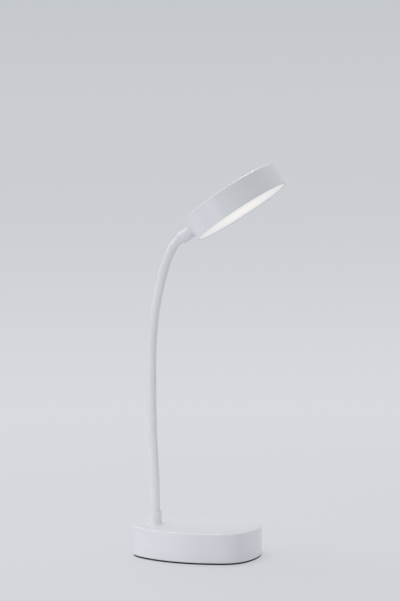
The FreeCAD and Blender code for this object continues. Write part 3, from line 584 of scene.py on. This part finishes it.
paper = add_node(tree, "ShaderNodeMix", data_type="RGBA")
paper.inputs["A"].default_value = PAPER
paper.inputs["B"].default_value = BLACK
glow = add_node(tree, "ShaderNodeMix", data_type="RGBA")
glow.inputs["A"].default_value = BLACK
for source, target in (
        (plain.outputs["Value"], paper.inputs["Factor"]),
        (plain.outputs["Value"], glow.inputs["Factor"]),
        (tone.outputs["Result"], glow.inputs["B"]),
        (paper.outputs["Result"], shader.inputs["Base Color"]),
        (glow.outputs["Result"], shader.inputs["Emission Color"])):
    tree.links.new(source, target)
set_inputs(shader, Roughness=0.9, Emission_Strength=1.0, Specular_IOR_Level=0.0)
# The plain tone is only there to be seen and lights nothing, so no light rays are aimed at it.
floor_finish.cycles.emission_sampling = "NONE"
floor_mesh.materials.append(floor_finish)
print("floor painted")

# %% [markdown]
# ## Light
# White plastic on a pale ground only shows its form when one side is a little darker. A wide soft lamp on the
# left does that, a panel overhead brightens the tops, and the even light of the surroundings fills the rest.
# What the camera and the reflections see of the world starts at the floor's far tone and gets a little darker
# just above the horizon, while the light that the world gives keeps its own value.

# %% World and lamps
SKY_TONE = (0.557, 0.577, 0.609, 1.0)
SKY_RISE = 0.04
FILL_COLOUR = (0.97, 0.985, 1.0, 1.0)
FILL_STRENGTH = 0.665

world = bpy.data.worlds.new("studio")
bpy.context.scene.world = world
world.use_nodes = True
tree = world.node_tree
tree.nodes.clear()
aim = add_node(tree, "ShaderNodeTexCoord")
climb = add_node(tree, "ShaderNodeSeparateXYZ")
above = set_inputs(add_node(tree, "ShaderNodeMapRange"), From_Max=SKY_RISE)
sky = add_node(tree, "ShaderNodeMix", data_type="RGBA")
sky.inputs["A"].default_value = FAR_TONE
sky.inputs["B"].default_value = SKY_TONE
shown = add_node(tree, "ShaderNodeBackground")
tree.links.new(aim.outputs["Generated"], climb.inputs["Vector"])
tree.links.new(climb.outputs["Z"], above.inputs["Value"])
tree.links.new(above.outputs["Result"], sky.inputs["Factor"])
tree.links.new(sky.outputs["Result"], shown.inputs["Color"])
fill = set_inputs(add_node(tree, "ShaderNodeBackground"), Color=FILL_COLOUR, Strength=FILL_STRENGTH)
choose = add_node(tree, "ShaderNodeMixShader")
output = add_node(tree, "ShaderNodeOutputWorld")
tree.links.new(seen_ray(tree), choose.inputs["Fac"])
tree.links.new(fill.outputs["Background"], choose.inputs[1])
tree.links.new(shown.outputs["Background"], choose.inputs[2])
tree.links.new(choose.outputs["Shader"], output.inputs["Surface"])


def soft_lamp(name, place, target, size, power):
    """Square area lamp aimed at a point."""
    data = bpy.data.lights.new(name, "AREA")
    data.size = size
    data.energy = power
    lamp = bpy.data.objects.new(name, data)
    lamp.location = place
    lamp.visible_camera = False
    lamp.rotation_euler = (Vector(target) - Vector(place)).to_track_quat("-Z", "Y").to_euler()
    bpy.context.scene.collection.objects.link(lamp)
    return lamp


soft_lamp("window_left", place=(-1.9, -1.3, 1.1), target=(0.0, 0.0, 0.15), size=1.4, power=3.5)
soft_lamp("ceiling_panel", place=(-0.4, 0.5, 2.2), target=(0.0, 0.0, 0.0), size=1.2, power=20.5)
print("big lamps on")

# %% [markdown]
# Two small cards stand low beside the base and lift the side walls. So close to the floor they would burn a
# bright patch into it. Light linking leaves the floor out of what they light, and they are hidden from
# reflections so that no streak shows in the gloss.

# %% Low cards
lamp_only = bpy.data.collections.new("lamp_only")
lamp_only.objects.link(floor)
lamp_only.collection_objects[0].light_linking.link_state = "EXCLUDE"


def low_card(name, place, target, size, power):
    """Small fill lamp that lights the lamp and skips the floor."""
    card = soft_lamp(name, place, target, size, power)
    card.visible_glossy = False
    card.light_linking.receiver_collection = lamp_only
    return card


low_card("card_left", place=(-0.56, -0.78, 0.07), target=(0.0, 0.0, 0.03), size=0.4, power=3.5)
low_card("card_right", place=(0.55, -0.05, 0.04), target=(0.0, 0.0, 0.02), size=0.2, power=0.42)
